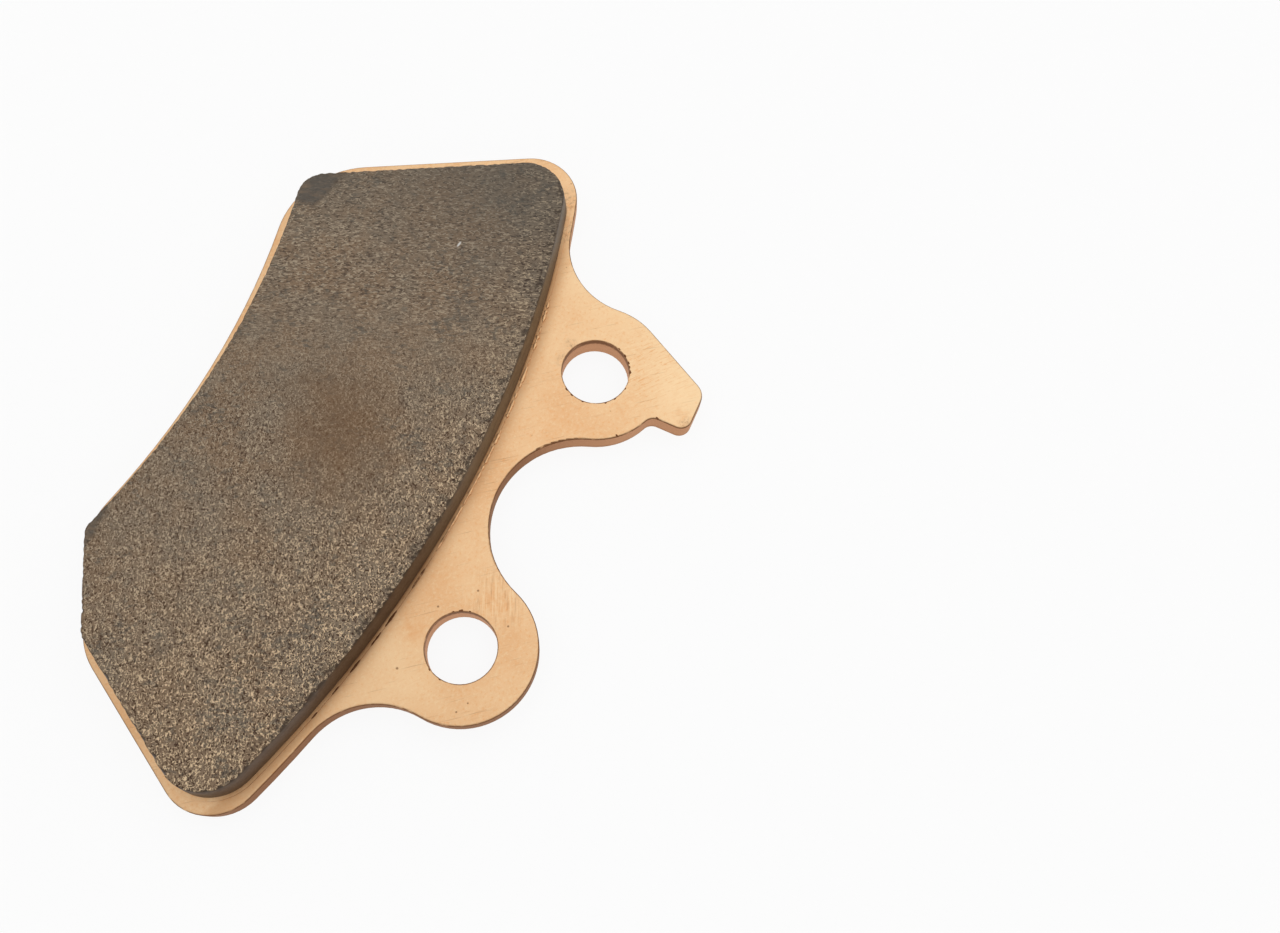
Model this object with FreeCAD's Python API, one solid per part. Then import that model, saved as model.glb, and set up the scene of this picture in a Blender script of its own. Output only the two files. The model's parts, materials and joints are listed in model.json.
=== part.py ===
"""Sintered disc-brake pad: a copper-plated steel backing plate and the friction block bonded to it.

Millimetres. The origin is midway between the two pad pins, on the back face. X runs along the line
of the pins towards the lug with the tab, Y towards the disc's axle and Z towards the disc. The lead
end of the pad is the one at +X, and the trail end the one at -X.

Every outline is a belt round a chain of circles: arcs, joined by the straight runs that touch both.
"""
import FreeCAD, Part
import math
import os

# Backing plate
PLATE_THICKNESS = 3.6
BACK_ROLL = 0.7            # rounding that blanking leaves round the back face
FRONT_ROLL = 0.25          # smaller rounding of the front edge
LAND_HEIGHT = 0.15         # seat land that carries the block
LAND_MARGIN = 0.45         # width of the land past the block's foot

# Pin lugs and the notch between them
PIN_PITCH = 40.0
PIN_BORE = 8.9
LUG_RADIUS = 9.5
NOTCH_CROWN = 4.6          # how far the notch passes the pin line
LUG_BLEND = 10.0           # radius of the hollow curve from each lug into the body

# Retaining tab on the lead lug
TAB_REACH = 14.3           # pin line to tip
TAB_ROOT = 2.7             # pin centre to the hooked side, towards the notch
TAB_WIDTH = 6.9            # hooked side to the far side of the shoulder
TAB_HOOK_RADIUS = 1.5
TAB_TIP_RADIUS = 1.6
TAB_SHOULDER_RADIUS = 2.2

# Track that the friction face sweeps on the disc
TRACK_OUTER_RADIUS = 142.1
TRACK_WIDTH = 34.65
TRACK_OFFSET = 8.5         # pin line to the outer edge of the track
DISC_SHIFT = 0.9           # axle off the middle of the pins, towards the lead end
TRACK_SHIFT = 0.7          # middle of the block's arcs off the axle, the same way

# Friction block
BLOCK_HEIGHT = 3.85        # land to friction face
BLOCK_FLARE = 0.45         # how far the foot stands out past the face
LEAD_LEAN = 29.2           # lean of the lead end, degrees
LEAD_REACH = 46.95         # origin to the lead end, square to the end
TRAIL_LEAN = 30.6
TRAIL_REACH = 52.55
CUT_LEAN = 60.5            # lean of the cut corner between the trail end and the inner edge
CUT_DEPTH = 4.83           # what the cut takes off the sharp corner, square to the cut
BLOCK_LEAD_RADIUS = 5.0    # outer corner at the lead end
BLOCK_TRAIL_RADIUS = 5.5   # outer corner at the trail end
BLOCK_INNER_RADIUS = 3.6   # inner corner at the lead end
BLOCK_CUT_RADIUS = 2.5     # both corners of the cut

# Rim of the plate past the outline of the friction face
RIM_OUTER = 1.75
RIM_INNER = 2.35
RIM_LEAD = 3.25
RIM_TRAIL = 1.75
RIM_CUT = 1.35
PLATE_LEAD_RADIUS = 6.2
PLATE_TRAIL_RADIUS = 6.3
PLATE_INNER_RADIUS = 12.5
PLATE_CUT_RADIUS = 9.0

UP = FreeCAD.Vector(0, 0, 1)
DISC = FreeCAD.Vector(DISC_SHIFT, TRACK_OFFSET + TRACK_OUTER_RADIUS, 0)
TRACK = DISC + FreeCAD.Vector(TRACK_SHIFT, 0, 0)
TRACK_INNER_RADIUS = TRACK_OUTER_RADIUS - TRACK_WIDTH
LEAD_PIN = FreeCAD.Vector(PIN_PITCH / 2, 0, 0)
TRAIL_PIN = FreeCAD.Vector(-PIN_PITCH / 2, 0, 0)
TOUCH_TOLERANCE = 1e-9


def polar(radius, angle):
    """Vector of the given length at an angle in radians from X."""
    return FreeCAD.Vector(radius * math.cos(angle), radius * math.sin(angle), 0)


def arc(centre, start, end, turn):
    """Arc about a centre, anticlockwise for a turn above 0 and clockwise below 0."""
    way = math.copysign(1, turn)
    first, last = (math.atan2(p.y - centre.y, p.x - centre.x) for p in (start, end))
    sweep = way * ((way * (last - first)) % (2 * math.pi))
    middle = centre + polar((start - centre).Length, first + sweep / 2)
    return Part.Arc(start, middle, end).toShape()


def straight_run(circle, following):
    """Ends of the run from one circle to the next, the same point where the circles touch."""
    (centre, radius), (other, other_radius) = circle, following
    span = other - centre
    heading = span / span.Length
    lift = (radius - other_radius) / span.Length
    if abs(lift) > 1 - TOUCH_TOLERANCE:
        point = centre + heading * (radius * math.copysign(1, lift))
        return point, point
    across = FreeCAD.Vector(heading.y, -heading.x, 0)
    normal = heading * lift + across * math.sqrt(1 - lift ** 2)
    return centre + normal * radius, other + normal * other_radius


def belt(circles):
    """Closed wire round circles given as centre and radius; a radius below 0 is passed clockwise."""
    runs = [straight_run(circle, circles[(i + 1) % len(circles)]) for i, circle in enumerate(circles)]
    edges = []
    for i, (centre, radius) in enumerate(circles):
        leave, arrive = runs[i]
        edges.append(arc(centre, runs[i - 1][1], leave, radius))
        if leave != arrive:
            edges.append(Part.makeLine(leave, arrive))
    return Part.Wire(edges)


def slant(lean, reach, side):
    """Straight end as its outward normal and its distance from the origin; side is the sign of its X."""
    normal = polar(1.0, math.radians(lean))
    return FreeCAD.Vector(side * normal.x, normal.y, 0), reach


def on_circle(end, centre, radius):
    """Where a straight end crosses a circle, on the side of the pins."""
    normal, reach = end
    along = FreeCAD.Vector(-normal.y, normal.x, 0)
    start = normal * reach
    offset = (start - centre).dot(along)
    root = math.sqrt(offset ** 2 - (start - centre).Length ** 2 + radius ** 2)
    return min((start + along * (s - offset) for s in (root, -root)), key=lambda point: point.y)


def crossing(end, other):
    """Where two straight ends cross."""
    (n, a), (m, b) = end, other
    span = n.x * m.y - n.y * m.x
    return FreeCAD.Vector((a * m.y - b * n.y) / span, (b * n.x - a * m.x) / span, 0)


def cut_reach():
    """Distance from the origin to the cut, by its depth from the sharp corner of the friction face."""
    corner = on_circle(slant(TRAIL_LEAN, TRAIL_REACH, -1), TRACK, TRACK_INNER_RADIUS)
    normal = slant(CUT_LEAN, 0.0, -1)[0]
    return corner.dot(normal) - CUT_DEPTH


def sector(middle, rims, radii):
    """Circles of a slice of the track with slanted ends and one cut corner, grown by a rim on each side.

    They run from the outer corner at the lead end, by the inner edge, to the one at the trail end.
    The track's arcs lie about the middle.
    """
    outer_radius = TRACK_OUTER_RADIUS + rims["outer"]
    inner_radius = TRACK_INNER_RADIUS - rims["inner"]
    lead_radius, inner_corner, cut_radius, trail_radius = radii

    def lead_end(inset):
        return slant(LEAD_LEAN, LEAD_REACH + rims["lead"] - inset, 1)

    def trail_end(inset):
        return slant(TRAIL_LEAN, TRAIL_REACH + rims["trail"] - inset, -1)

    def cut_end(inset):
        return slant(CUT_LEAN, cut_reach() + rims["cut"] - inset, -1)

    return [
        (on_circle(lead_end(lead_radius), middle, outer_radius - lead_radius), lead_radius),
        (on_circle(lead_end(inner_corner), middle, inner_radius + inner_corner), inner_corner),
        (middle, -inner_radius),
        (on_circle(cut_end(cut_radius), middle, inner_radius + cut_radius), cut_radius),
        (crossing(cut_end(cut_radius), trail_end(cut_radius)), cut_radius),
        (on_circle(trail_end(trail_radius), middle, outer_radius - trail_radius), trail_radius),
    ]


def block_wire(grow, height):
    """Outline of the block grown evenly all round, at a height."""
    rims = dict.fromkeys(("outer", "inner", "lead", "trail", "cut"), grow)
    radii = (BLOCK_LEAD_RADIUS, BLOCK_INNER_RADIUS, BLOCK_CUT_RADIUS, BLOCK_TRAIL_RADIUS)
    corners = sector(TRACK, rims, [radius + grow for radius in radii])
    return belt([(TRACK, TRACK_OUTER_RADIUS + grow)] + corners).translated(UP * height)


def blend(pin, neighbour):
    """Circle of the hollow curve that touches a lug and a circle of the body beside it."""
    centre, radius = neighbour
    to_pin = LUG_RADIUS + LUG_BLEND
    to_centre = radius + LUG_BLEND
    span = (pin - centre).Length
    swing = math.acos((span ** 2 + to_centre ** 2 - to_pin ** 2) / (2 * span * to_centre))
    heading = math.atan2(pin.y - centre.y, pin.x - centre.x)
    return centre + polar(to_centre, heading + math.copysign(swing, pin.x)), -LUG_BLEND


def swing_from_middle(point):
    """Angle at the axle from the pad's middle to a point, above 0 either way."""
    return abs(math.atan2(point.x - DISC.x, DISC.y - point.y))


def lug_side(pin, corner):
    """Circles from a lug to the body's corner: the hollow curve and the outer edge, where it has room."""
    outer_edge = (DISC, TRACK_OUTER_RADIUS + RIM_OUTER)
    curve = blend(pin, outer_edge)
    if swing_from_middle(curve[0]) < swing_from_middle(corner[0]):
        return [curve, outer_edge]
    return [blend(pin, corner)]


def notch():
    """Circle of the notch, which touches both lugs and passes the pin line by its crown."""
    depth = LUG_RADIUS + NOTCH_CROWN
    centre_y = (depth ** 2 - (PIN_PITCH / 2) ** 2) / (2 * depth)
    return FreeCAD.Vector(0, centre_y, 0), centre_y - NOTCH_CROWN


def tab():
    """Circles of the tab: the hook beside the lug, the tip and the shoulder."""
    root_x = LEAD_PIN.x - TAB_ROOT
    shoulder_x = root_x + TAB_WIDTH - TAB_SHOULDER_RADIUS
    hook_depth = math.sqrt((LUG_RADIUS + TAB_HOOK_RADIUS) ** 2 - (TAB_ROOT + TAB_HOOK_RADIUS) ** 2)
    return [
        (FreeCAD.Vector(root_x - TAB_HOOK_RADIUS, -hook_depth, 0), -TAB_HOOK_RADIUS),
        (FreeCAD.Vector(root_x + TAB_TIP_RADIUS, TAB_TIP_RADIUS - TAB_REACH, 0), TAB_TIP_RADIUS),
        (FreeCAD.Vector(shoulder_x, TAB_SHOULDER_RADIUS - TAB_REACH, 0), TAB_SHOULDER_RADIUS),
    ]


def plate_wire():
    """Outline of the plate, anticlockwise from the outer edge at the trail end."""
    rims = {"outer": RIM_OUTER, "inner": RIM_INNER, "lead": RIM_LEAD, "trail": RIM_TRAIL, "cut": RIM_CUT}
    radii = (PLATE_LEAD_RADIUS, PLATE_INNER_RADIUS, PLATE_CUT_RADIUS, PLATE_TRAIL_RADIUS)
    corners = sector(DISC, rims, radii)
    lead_lug = (LEAD_PIN, LUG_RADIUS)
    trail_lug = (TRAIL_PIN, LUG_RADIUS)
    trail_side = lug_side(TRAIL_PIN, corners[-1])[::-1] + [trail_lug, notch()]
    lead_side = [lead_lug] + tab() + [lead_lug] + lug_side(LEAD_PIN, corners[0])
    return belt(trail_side + lead_side + corners)


def backing_plate():
    """Blanked plate with its rolled edges, the seat land and the two pin holes."""
    plate = Part.Face(plate_wire()).extrude(UP * PLATE_THICKNESS)
    plate = plate.makeFillet(BACK_ROLL, [e for e in plate.Edges if e.BoundBox.ZMax < PLATE_THICKNESS / 2])
    plate = plate.makeFillet(FRONT_ROLL, [e for e in plate.Edges if e.BoundBox.ZMin > PLATE_THICKNESS / 2])
    land = Part.Face(block_wire(BLOCK_FLARE + LAND_MARGIN, PLATE_THICKNESS)).extrude(UP * LAND_HEIGHT)
    plate = plate.fuse(land)
    for pin in (LEAD_PIN, TRAIL_PIN):
        plate = plate.cut(Part.makeCylinder(PIN_BORE / 2, PLATE_THICKNESS, pin))
    return plate.removeSplitter().Solids[0]


def friction_block():
    """Block that narrows a little from its foot on the land to the friction face."""
    seat = PLATE_THICKNESS + LAND_HEIGHT
    foot = block_wire(BLOCK_FLARE, seat)
    face = block_wire(0.0, seat + BLOCK_HEIGHT)
    return Part.makeLoft([foot, face], True, True)


os.makedirs("parts", exist_ok=True)
backing_plate().exportStep("parts/backing_plate.step")
friction_block().exportStep("parts/friction_block.step")
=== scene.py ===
"""Dressed model of the sintered brake pad.

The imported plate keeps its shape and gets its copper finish. The friction block is made again with the
grain, the crumbling edge and the unground corners of sintered metal. A broken braze bead runs along its
outer foot, and burrs sit on the edges that the punch left.
"""
import json
import math
import random
from functools import reduce
from operator import or_

import bmesh
import bpy
import numpy as np
from bpy.props import FloatProperty, FloatVectorProperty, PointerProperty
from mathutils import Matrix, Vector, geometry, kdtree, noise


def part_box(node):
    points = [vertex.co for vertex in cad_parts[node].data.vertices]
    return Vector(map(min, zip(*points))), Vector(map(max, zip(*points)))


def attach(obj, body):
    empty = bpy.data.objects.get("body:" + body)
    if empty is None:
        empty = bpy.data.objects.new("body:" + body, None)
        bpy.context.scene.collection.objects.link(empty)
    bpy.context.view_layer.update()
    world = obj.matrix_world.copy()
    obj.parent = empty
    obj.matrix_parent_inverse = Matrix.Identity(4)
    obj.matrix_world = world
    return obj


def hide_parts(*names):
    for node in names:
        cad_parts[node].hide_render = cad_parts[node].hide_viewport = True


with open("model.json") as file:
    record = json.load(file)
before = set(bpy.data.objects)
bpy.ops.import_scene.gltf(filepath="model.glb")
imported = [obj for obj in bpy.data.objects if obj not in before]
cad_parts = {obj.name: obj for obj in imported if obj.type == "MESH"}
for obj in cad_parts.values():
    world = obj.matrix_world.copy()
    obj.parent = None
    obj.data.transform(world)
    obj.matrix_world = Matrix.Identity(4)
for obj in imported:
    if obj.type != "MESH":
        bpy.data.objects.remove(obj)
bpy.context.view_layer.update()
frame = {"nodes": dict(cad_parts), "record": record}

bl_info = {
    "name": "Sintered Brake Pad",
    "version": (1, 0, 0),
    "blender": (4, 5, 0),
    "location": "View3D > Sidebar > Brake Pad",
    "description": "Finishes a packed brake pad: copper-plated plate, sintered block, braze bead and burrs",
    "category": "Object",
}

MM = 0.001
MOUNTS = {mount["name"]: mount for mount in frame["record"]["mounts"]}
LEAD_BORE = MOUNTS["lead_pin_bore"]
TRAIL_BORE = MOUNTS["trail_pin_bore"]
BORE_RADIUS = LEAD_BORE["dims"]["r_mm"]
PLATE_FRONT = LEAD_BORE["dims"]["length_mm"]
BLOCK_LOW, BLOCK_HIGH = (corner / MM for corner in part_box("friction_block"))

# Directions on the lying pad, in its own frame: the way the face was ground, and square to it
GRIND_WAY = Vector((0.417, -0.909, 0.0)).normalized()
CROSS_WAY = Vector((0.909, 0.417, 0.0)).normalized()
GRIND_TURN = math.atan2(GRIND_WAY.y, GRIND_WAY.x)
CROSS_TURN = math.atan2(CROSS_WAY.y, CROSS_WAY.x)

# Small marks on the front of the plate: place and radius, in millimetres
PLATE_PITS = ((-16.6, 4.8, 0.2), (-25.4, 5.9, 0.24), (-27.2, -2.9, 0.18), (-25.7, -3.7, 0.16),
              (-15.3, -4.1, 0.2), (-12.8, 1.2, 0.2))
TARNISH_SPOTS = ((19.8, 4.6, 1.5), (22.2, 4.6, 1.2), (18.3, -13.6, 1.3), (37.4, 11.6, 3.0),
                 (41.5, 14.2, 3.0))
ORANGE_SPOTS = ((-20.6, 6.2, 2.2), (-12.9, -2.0, 4.2), (19.5, -13.2, 2.0), (39.0, 13.0, 5.0))

# Places on the front of the plate: a painted highlight beside the tab, a scuffed patch, combed strokes and
# a paler patch on the trail neck
TAB_HIGHLIGHT = (22.5, -12.0, PLATE_FRONT)
LEAD_SCUFF = (23.5, -6.5, PLATE_FRONT)
TRAIL_COMB = (-12.6, -1.6, PLATE_FRONT)
TRAIL_NECK = (-27.0, 6.5, PLATE_FRONT)

# Turns of the strokes on the plate
SCRATCH_TURN = math.radians(-52.0)
SCUFF_TURN = math.radians(-40.0)

# Marks on the face of the block
NICK = Vector((27.4, 23.2, BLOCK_HIGH.z))
NICK_TURN = math.radians(-9.0)
STAIN = Vector((-2.5, 25.0, BLOCK_HIGH.z))
PORE_SHIFT = 90.0

# Lines past which the grinding wheel never reached: a sloping one at the lead corner, one at the trail end
LEAD_SKIN_X = 24.0
LEAD_SKIN_POINT = (27.0, 42.1)
LEAD_SKIN_SLOPE = 0.25
TRAIL_SKIN_X = -18.0
TRAIL_SKIN_Y = 45.35

# The block's outline and mesh, in millimetres, with the jitter as a share of the pitch
ARC_STATIONS = (-24.0, 0.0, 24.0)
FACE_MIDDLE_Y = 25.0
LEVEL = 1e-3
RIM_INSET = 0.26
RIM_GAP = 0.12
WALL_SWELL = 0.1
WALL_RINGS = 10
JITTER = 0.2
WELD = 1e-7

# The braze bead: spacing and distance from the foot in millimetres, then shares of its radius
BEAD_PITCH = 0.2
BEAD_GAP = 0.42
BEAD_SIDES = 8
BEAD_LEAST = 0.22
BEAD_WIDE = 1.25
BEAD_TALL = 0.75

# Burrs: angle round the bore in degrees and size in millimetres, then loose ones on the outer edge
LEAD_BURRS = ((-20, 0.16), (-35, 0.2), (-49, 0.2), (-57, 0.16), (-66, 0.22), (-97, 0.15), (-122, 0.16),
              (-139, 0.18), (-178, 0.15), (161, 0.17), (148, 0.2))
TRAIL_BURRS = ((26, 0.24), (38, 0.15), (12, 0.13), (150, 0.15), (172, 0.13))
EDGE_BURRS = ((13.0, -6.2, 0.2), (17.4, -10.0, 0.22), (44.2, 14.6, 0.1))
BURR_OUT = 0.12
BURR_SINK = 0.02
BURR_SHAPE = (0.6, 1.25, 0.5)

# The stage, in metres
FLOOR_HALF = 3.0
FLOOR_DROP = 0.02 * MM
BACKDROP_HEIGHT = 1.3
SOFTBOX_SIZE = 0.8
SOFTBOX_PLACE = (CROSS_WAY * 0.3 + GRIND_WAY * 0.12) + Vector((0.0, 0.0, 0.7))
SOFTBOX_AIM = Vector((0.0, 0.015, 0.0))
SENSOR_WIDTH = 36.0


def tint(red, green, blue):
    """A screen colour, 0 to 255, as the linear colour that a shader takes."""
    linear = []
    for level in (red, green, blue):
        share = level / 255.0
        linear.append(share / 12.92 if share < 0.04045 else ((share + 0.055) / 1.055) ** 2.4)
    return tuple(linear)


def rgba(colour):
    """A colour property as the four values of a colour socket."""
    return (colour[0], colour[1], colour[2], 1.0)


def colour_prop(name, description, default):
    """A colour that a user can pick."""
    return FloatVectorProperty(name=name, description=description, default=default, subtype="COLOR",
                               size=3, min=0.0, max=1.0)


def length_prop(name, description, default):
    """A length that a user can set, in metres."""
    return FloatProperty(name=name, description=description, default=default, unit="LENGTH", min=0.0,
                         precision=6)


def share_prop(name, description, default):
    """A plain amount from nothing to one."""
    return FloatProperty(name=name, description=description, default=default, subtype="FACTOR", min=0.0,
                         max=1.0)


class PlateFinish(bpy.types.PropertyGroup):
    """Colours and wear of the copper-plated plate."""

    copper: colour_prop("Copper", "Satin copper plating on the flat faces", tint(240, 199, 153))
    copper_deep: colour_prop("Deep Copper", "Plating where it is thicker or handled", tint(233, 186, 138))
    # Pale copper: real specks and scuffs, and also the painted light towards the tab and the painted
    # highlight beside it
    pale: colour_prop("Pale Copper", "Bright specks and rubbed places of the lugs", tint(250, 220, 176))
    # Smoked copper is the colour of painted shade and the block's painted reflection on the plate beside it
    shadow: colour_prop("Smoked Copper", "Heat-dulled band beside the block", tint(196, 146, 100))
    # Wall: dark brown of painted shade and painted dark reflection on the blanked walls
    wall: colour_prop("Wall", "Blanked walls of the outline", tint(142, 96, 64))
    # Bore wall: lighter colour of painted bounce light inside the bores
    bore_wall: colour_prop("Bore Wall", "Walls of the pin bores", tint(204, 155, 119))
    edge_line: colour_prop("Edge Line", "Dark line along the rolled front edge", tint(108, 66, 38))
    tarnish: colour_prop("Tarnish", "Brown oxide in pits and on handled spots", tint(122, 78, 44))
    orange: colour_prop("Heat Tint", "Orange tint of the heated plating", tint(222, 150, 84))
    sheen: colour_prop("Sheen", "Tint of the plating's grazing reflection", (0.92, 0.8, 0.7))
    roughness: share_prop("Roughness", "Roughness of the satin plating", 0.42)


class BlockFinish(bpy.types.PropertyGroup):
    """Sizes and colours of the sintered block."""

    pitch: length_prop("Face Pitch", "Distance between points of the grained face", 0.2 * MM)
    relief: length_prop("Relief", "Depth of the coarsest grain", 0.09 * MM)
    chip: length_prop("Edge Chips", "Depth of the chips along the face's edge", 0.42 * MM)
    skin_drop: length_prop("Unground Drop", "How far the unground corners lie below the face", 0.16 * MM)
    metal: colour_prop("Sintered Metal", "Ground face, mean colour", tint(135, 118, 98))
    metal_warm: colour_prop("Warm Metal", "Ground face where it is browner", tint(139, 115, 90))
    bright: colour_prop("Bright Grain", "Burnished crests of the grain", tint(228, 201, 163))
    bright_cool: colour_prop("Cool Grain", "Crests of the finer grain at the lead end", tint(180, 164, 141))
    pit: colour_prop("Pits", "Open pores between the grains", tint(66, 40, 21))
    patch: colour_prop("Grey Patches", "Cooler, darker patches of the face", tint(88, 84, 76))
    stain: colour_prop("Heat Stain", "Brown stain in the middle of the face", tint(116, 84, 52))
    nick: colour_prop("Nick", "Bare metal of a nick in the face", tint(215, 212, 205))
    skin: colour_prop("Unground Skin", "Smooth skin of the unground corners", tint(84, 78, 71))
    # Edge: painted shade along the face's chipped edge and down its rounded rim; also the dark line at the
    # edge of the unground skin
    edge: colour_prop("Crumbling Edge", "Dark line along the face's edge", tint(62, 47, 33))
    wall: colour_prop("Block Wall", "Pressed side wall", tint(120, 101, 77))
    wall_warm: colour_prop("Warm Wall", "Side wall towards the trail end", tint(90, 68, 48))
    # Scorched foot: partly scorch and partly painted contact shade where the wall meets the plate
    scorch_and_shade: colour_prop("Scorched Foot", "Dark line at the foot of the wall", tint(54, 30, 13))


class BeadFinish(bpy.types.PropertyGroup):
    """Size and colours of the braze bead and the burrs."""

    radius: length_prop("Bead Radius", "Radius of the braze bead along the block's foot", 0.19 * MM)
    bright: colour_prop("Clean Bead", "Bead towards the lead end", tint(250, 203, 152))
    # Scorched bead: partly scorch and partly painted shade beside the block's foot
    dark: colour_prop("Scorched Bead", "Bead towards the trail end", tint(112, 72, 44))
    burr: colour_prop("Burr", "Torn burrs on the punched edges", tint(134, 84, 48))


class StageSet(bpy.types.PropertyGroup):
    """Floor, light and camera."""

    camera_place: FloatVectorProperty(name="Camera Place", description="Where the camera stands", size=3,
                                      default=(-36.97 * MM, -21.68 * MM, 151.84 * MM),
                                      subtype="TRANSLATION", unit="LENGTH")
    camera_aim: FloatVectorProperty(name="Camera Aim", description="The point at the picture's middle",
                                    size=3, default=(9.116 * MM, -10.892 * MM, 7.6 * MM),
                                    subtype="TRANSLATION", unit="LENGTH")
    camera_roll: FloatProperty(name="Camera Roll", description="Turn about the line of sight",
                               default=math.radians(10.936), subtype="ANGLE")
    lens: FloatProperty(name="Lens", description="Focal length on a 36 mm sensor", default=34.03, min=1.0)
    floor_colour: colour_prop("Floor", "Plain pale floor", (0.95, 0.95, 0.95))
    floor_glow: share_prop("Floor White", "How much of the floor is plain white to the camera", 0.9)
    ceiling: FloatProperty(name="Ceiling Light", description="Brightness of the ceiling",
                           default=0.74, min=0.0)
    horizon: FloatProperty(name="Side Light", description="Brightness of the room's sides",
                           default=0.42, min=0.0)
    key_power: FloatProperty(name="Softbox Power", description="Power of the overhead softbox",
                             default=0.85, min=0.0, unit="POWER")


class Wire:
    """A shader socket on which Python's arithmetic adds Math nodes."""

    def __init__(self, tree, socket=None):
        self.tree = tree
        self.socket = socket

    def node(self, kind, settings, links, output=0):
        """Add any node: its settings first, then the values or links of its sockets."""
        made = self.tree.nodes.new(kind)
        for name, value in settings.items():
            setattr(made, name, value)
        self.feed(made, links)
        return Wire(self.tree, made.outputs[output])

    def feed(self, target, links):
        """Set or link the named sockets of a node."""
        for name, value in links.items():
            if isinstance(value, Wire):
                self.tree.links.new(value.socket, target.inputs[name])
            else:
                target.inputs[name].default_value = value

    def out(self, name):
        """Another output of the node that this socket belongs to."""
        return Wire(self.tree, self.socket.node.outputs[name])

    def maths(self, operation, first, second):
        """One operation on two values, or on two vectors where one is a Vector."""
        if isinstance(first, Vector) or isinstance(second, Vector):
            return self.node("ShaderNodeVectorMath", {"operation": operation}, {0: first, 1: second})
        return self.node("ShaderNodeMath", {"operation": operation}, {0: first, 1: second})

    def __add__(self, other):
        return self.maths("ADD", self, other)

    def __radd__(self, other):
        return self.maths("ADD", other, self)

    def __sub__(self, other):
        return self.maths("SUBTRACT", self, other)

    def __rsub__(self, other):
        return self.maths("SUBTRACT", other, self)

    def __mul__(self, other):
        return self.maths("MULTIPLY", self, other)

    def __rmul__(self, other):
        return self.maths("MULTIPLY", other, self)

    def __or__(self, other):
        return self.maths("MAXIMUM", self, other)

    def __ror__(self, other):
        return self.maths("MAXIMUM", other, self)

    def __abs__(self):
        return self.node("ShaderNodeMath", {"operation": "ABSOLUTE"}, {0: self})


def rise(value, low, high):
    """A smooth step from 0 at low to 1 at high."""
    return value.node("ShaderNodeMapRange", {"interpolation_type": "SMOOTHSTEP"},
                      {"Value": value, "From Min": low, "From Max": high})


def fall(value, low, high):
    """A smooth step from 1 at low to 0 at high."""
    return 1.0 - rise(value, low, high)


def mix(factor, first, second):
    """One colour into another, each a socket or a colour property."""
    first, second = (one if isinstance(one, Wire) else rgba(one) for one in (first, second))
    return factor.node("ShaderNodeMix", {"data_type": "RGBA"}, {0: factor, 6: first, 7: second}, 2)


def speckle(place, scale, detail=2.0, roughness=0.5, distortion=0.0):
    """Noise with a scale in grains a millimetre."""
    return place.node("ShaderNodeTexNoise", {},
                      {"Vector": place, "Scale": scale, "Detail": detail, "Roughness": roughness,
                       "Distortion": distortion})


def stretched(place, turn, lengths):
    """Coordinates turned about the face's normal and counted in stroke lengths, for strokes and streaks."""
    return place.node("ShaderNodeMapping", {"vector_type": "TEXTURE"},
                      {"Vector": place, "Rotation": (0.0, 0.0, turn), "Scale": lengths})


def curls(place, lengths, shift, width):
    """Thin winding strokes in short runs: lengths along and across the grinding, a shift and a width."""
    moved = place + Vector((shift, 0.0, 0.0))
    winding = speckle(stretched(moved, GRIND_TURN, (*lengths, 1.0)), 1.0, 0.0, 0.5, 0.5)
    breaks = speckle(stretched(moved, GRIND_TURN, (lengths[0] * 0.8, lengths[1] * 1.1, 1.0)), 1.0, 1.0)
    return fall(abs(winding - 0.5), width * 0.4, width) * rise(breaks, 0.42, 0.52)


def distance(place, centre):
    """Distance from a point, in millimetres."""
    return place.node("ShaderNodeVectorMath", {"operation": "DISTANCE"}, {0: place, 1: centre}, "Value")


def length(vector):
    """Length of a vector."""
    return vector.node("ShaderNodeVectorMath", {"operation": "LENGTH"}, {0: vector}, "Value")


def nearness(place, centre, inner, outer):
    """1 inside a ball about a point, fading to 0 at its outer radius."""
    return fall(distance(place, centre), inner, outer)


def near_any(place, spots, height):
    """1 at the middle of any of the spots (x, y, radius) on a face, fading to 0 at their rims."""
    return reduce(or_, (nearness(place, (x, y, height), 0.2 * radius, radius) for x, y, radius in spots))


def past_arc(place, height):
    """How far a point near one height lies outside the block's outer edge, in millimetres."""
    middle_x, middle_y, radius = OUTER_ARC
    return distance(place, (middle_x, middle_y, height)) - radius


def millimetres(sheet):
    """The pad's own coordinates in millimetres."""
    raw = sheet.node("ShaderNodeTexCoord", {}, {}, "Object")
    return sheet.node("ShaderNodeVectorMath", {"operation": "SCALE"}, {0: raw, "Scale": 1.0 / MM})


def axes(vector):
    """The three parts of a vector."""
    split = vector.node("ShaderNodeSeparateXYZ", {}, {0: vector}, "X")
    return split, split.out("Y"), split.out("Z")


def stored(sheet, name):
    """A value that was stored on the points of a mesh."""
    return sheet.node("ShaderNodeAttribute", {"attribute_name": name}, {}, "Fac")


def bumped(height, strength, depth):
    """A normal that follows a height, with a depth in millimetres."""
    return height.node("ShaderNodeBump", {},
                       {"Strength": strength, "Distance": depth * MM, "Height": height}, "Normal")


def new_material(name):
    """An empty procedural material, its shader and a place to add nodes."""
    material = bpy.data.materials.new(name)
    material.use_nodes = True
    return material, material.node_tree.nodes["Principled BSDF"], Wire(material.node_tree)


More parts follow.
